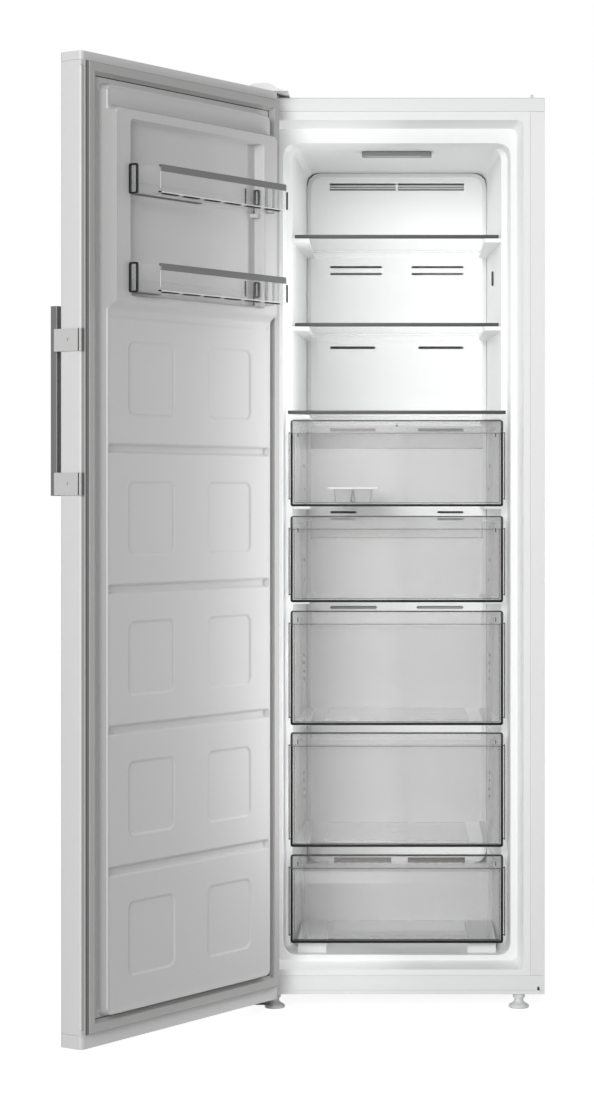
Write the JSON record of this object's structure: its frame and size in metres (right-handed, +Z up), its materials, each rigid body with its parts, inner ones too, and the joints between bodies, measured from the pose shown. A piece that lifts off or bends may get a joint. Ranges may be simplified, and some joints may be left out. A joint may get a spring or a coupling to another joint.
{
  "type": "upright freezer",
  "caption": "Tall white upright freezer, door open to the left, with clear drawers below glass shelves and clear racks on the formed inner face of the door.",
  "frame": {"origin": "middle of the base of the bounding box, with the door open as in the picture", "axes": "+Z up, +Y from the open front towards the back of the cabinet, +X to the right as seen from the front"},
  "size_m": [0.9308, 1.1388, 1.854],
  "materials": {
    "white_steel": "satin white coating",
    "zinc_sheet": "plain zinc coated sheet",
    "white_plastic": "satin white",
    "ice_plastic": "translucent white",
    "liner_plastic": "formed sheet, soft gloss",
    "foam": "cut foam",
    "gasket_rubber": "soft matt grey white",
    "copper_tube": "drawn copper",
    "aluminium_fin": "plain",
    "black_steel": "black lacquer",
    "dark_plastic": "fine grain",
    "shelf_trim": "satin dark grey",
    "shelf_glass": "polished",
    "drawer_clear": "clear moulded plastic",
    "rack_clear": "clear moulded plastic",
    "rack_band": "satin dark grey",
    "lamp_lens": "frosted",
    "handle_grey": "satin grey",
    "bracket_grey": "satin silver",
    "foot_grey": "moulded"
  },
  "bodies": {
    "cabinet": {"outer_shell": "white_steel", "rear_panel": "zinc_sheet", "base_plate": "zinc_sheet", "insulation_foam": "foam", "inner_liner": "liner_plastic", "top_trim": "white_plastic", "bottom_trim": "white_plastic", "condenser_coil": "copper_tube", "back_panel": "liner_plastic", "evaporator": "aluminium_fin", "fan_motor": "black_steel", "drain_tube": "dark_plastic", "compressor": "black_steel", "terminal_cover": "dark_plastic", "drip_tray": "dark_plastic", "lamp_housing": "white_plastic", "lamp_lens": "lamp_lens", "sensor_cover": "dark_plastic", "top_hinge": "zinc_sheet", "hinge_cover": "white_plastic", "bottom_hinge": "black_steel", "top_plug": "white_plastic", "rear_foot_left": "foot_grey", "rear_foot_right": "foot_grey"},
    "fan": {"evaporator_fan": "dark_plastic"},
    "front_foot_left": {"front_foot_left": "foot_grey"},
    "front_foot_right": {"front_foot_right": "foot_grey"},
    "door": {"door_skin": "white_steel", "door_top_cap": "white_plastic", "door_bottom_cap": "white_plastic", "door_foam": "foam", "door_liner": "liner_plastic", "door_gasket": "gasket_rubber", "handle_bar": "handle_grey", "handle_bracket_lower": "bracket_grey", "handle_bracket_upper": "bracket_grey"},
    "upper_rack": {"upper_rack_bin": "rack_clear", "upper_rack_band": "rack_band"},
    "lower_rack": {"lower_rack_bin": "rack_clear", "lower_rack_band": "rack_band"},
    "ice_tray": {"ice_tray": "ice_plastic"},
    "shelf_1": {"shelf_1_glass": "shelf_glass", "shelf_1_front_trim": "shelf_trim", "shelf_1_rear_trim": "shelf_trim"},
    "shelf_2": {"shelf_2_glass": "shelf_glass", "shelf_2_front_trim": "shelf_trim", "shelf_2_rear_trim": "shelf_trim"},
    "shelf_3": {"shelf_3_glass": "shelf_glass", "shelf_3_front_trim": "shelf_trim", "shelf_3_rear_trim": "shelf_trim"},
    "drawer_1": {"drawer_1_front": "drawer_clear", "drawer_1_tub": "drawer_clear"},
    "drawer_2": {"drawer_2_front": "drawer_clear", "drawer_2_tub": "drawer_clear"},
    "drawer_3": {"drawer_3_front": "drawer_clear", "drawer_3_tub": "drawer_clear"},
    "drawer_4": {"drawer_4_front": "drawer_clear", "drawer_4_tub": "drawer_clear"},
    "drawer_5": {"drawer_5_front": "drawer_clear", "drawer_5_tub": "drawer_clear"}
  },
  "joints": [
    {"name": "door_hinge", "type": "hinge", "parent": "cabinet", "child": "door", "pos_m": [-0.10964, -0.06858, 0.935], "axis": [0, 0, -1], "range_deg": [-124, 6]},
    {"name": "shelf_1_slide", "type": "slide", "parent": "cabinet", "child": "shelf_1", "axis": [0, -1, 0], "range_m": [0, 0.32]},
    {"name": "shelf_2_slide", "type": "slide", "parent": "cabinet", "child": "shelf_2", "axis": [0, -1, 0], "range_m": [0, 0.32]},
    {"name": "shelf_3_slide", "type": "slide", "parent": "cabinet", "child": "shelf_3", "axis": [0, -1, 0], "range_m": [0, 0.32]},
    {"name": "drawer_1_slide", "type": "slide", "parent": "cabinet", "child": "drawer_1", "axis": [0, -1, 0], "range_m": [0, 0.38]},
    {"name": "drawer_2_slide", "type": "slide", "parent": "cabinet", "child": "drawer_2", "axis": [0, -1, 0], "range_m": [0, 0.38]},
    {"name": "drawer_3_slide", "type": "slide", "parent": "cabinet", "child": "drawer_3", "axis": [0, -1, 0], "range_m": [0, 0.38]},
    {"name": "drawer_4_slide", "type": "slide", "parent": "cabinet", "child": "drawer_4", "axis": [0, -1, 0], "range_m": [0, 0.38]},
    {"name": "drawer_5_slide", "type": "slide", "parent": "cabinet", "child": "drawer_5", "axis": [0, -1, 0], "range_m": [0, 0.27]},
    {"name": "upper_rack_lift", "type": "slide", "parent": "door", "child": "upper_rack", "axis": [0, 0, 1], "range_m": [0, 0.03]},
    {"name": "lower_rack_lift", "type": "slide", "parent": "door", "child": "lower_rack", "axis": [0, 0, 1], "range_m": [0, 0.03]},
    {"name": "ice_tray_lift", "type": "slide", "parent": "drawer_1", "child": "ice_tray", "axis": [0, 0, 1], "range_m": [0, 0.09]},
    {"name": "fan_spin", "type": "hinge", "parent": "cabinet", "child": "fan", "pos_m": [0.16786, 0.47442, 1.09], "axis": [0, 1, 0], "continuous": true},
    {"name": "front_foot_left_turn", "type": "hinge", "parent": "cabinet", "child": "front_foot_left", "pos_m": [-0.07864, 0.00142, 0.015], "axis": [0, 0, 1], "continuous": true},
    {"name": "front_foot_right_turn", "type": "hinge", "parent": "cabinet", "child": "front_foot_right", "pos_m": [0.41436, 0.00142, 0.015], "axis": [0, 0, 1], "continuous": true}
  ]
}
